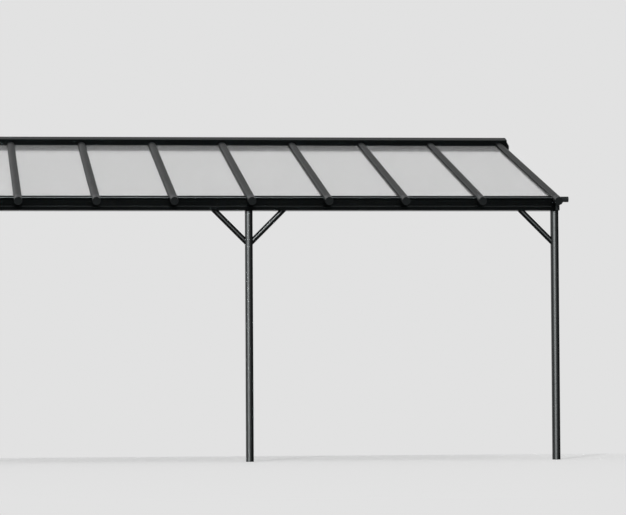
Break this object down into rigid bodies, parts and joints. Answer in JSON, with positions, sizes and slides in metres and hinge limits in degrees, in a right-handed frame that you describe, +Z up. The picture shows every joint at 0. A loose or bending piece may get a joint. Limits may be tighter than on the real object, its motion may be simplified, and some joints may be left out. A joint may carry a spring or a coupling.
{
  "type": "wall-mounted pergola",
  "caption": "Lean-to pergola with a glazed sloping roof on rafters, a front gutter beam, posts with 45 degree braces and a wall profile.",
  "frame": {"origin": "middle of the wall profile's back face, where it is fixed to the wall", "axes": "+X along the wall to the right seen from the front, +Y into the wall, +Z up"},
  "size_m": [5.8686, 3.5024, 3.1946],
  "materials": {
    "frame_metal": "satin powder coat",
    "cover_metal": "satin powder coat",
    "trim_metal": "satin",
    "end_plastic": "fine moulded grain",
    "foot_steel": "coated steel",
    "glazing": "translucent twin-wall sheet"
  },
  "bodies": {
    "root": {"wall_profile": "frame_metal", "wall_hood": "frame_metal", "wall_profile_cap_left": "end_plastic", "wall_profile_cap_right": "end_plastic", "gutter": "frame_metal", "gutter_end_left": "end_plastic", "gutter_end_right": "end_plastic", "rafter_1": "frame_metal", "rafter_cover_1": "cover_metal", "rafter_2": "frame_metal", "rafter_cover_2": "cover_metal", "rafter_3": "frame_metal", "rafter_cover_3": "cover_metal", "rafter_4": "frame_metal", "rafter_cover_4": "cover_metal", "rafter_5": "frame_metal", "rafter_cover_5": "cover_metal", "rafter_6": "frame_metal", "rafter_cover_6": "cover_metal", "rafter_7": "frame_metal", "rafter_cover_7": "cover_metal", "rafter_8": "frame_metal", "rafter_cover_8": "cover_metal", "rafter_9": "frame_metal", "rafter_cover_9": "cover_metal", "roof_sheet_1": "glazing", "roof_sheet_2": "glazing", "roof_sheet_3": "glazing", "roof_sheet_4": "glazing", "roof_sheet_5": "glazing", "roof_sheet_6": "glazing", "roof_sheet_7": "glazing", "roof_sheet_8": "glazing", "rafter_noses": "end_plastic", "sheet_end_trims": "trim_metal", "side_trim_left": "frame_metal", "side_trim_right": "frame_metal", "post_left": "frame_metal", "post_middle": "frame_metal", "post_right": "frame_metal", "post_feet": "foot_steel", "brace_left_post": "frame_metal", "brace_middle_post_left": "frame_metal", "brace_middle_post_right": "frame_metal", "brace_right_post": "frame_metal"}
  },
  "joints": []
}
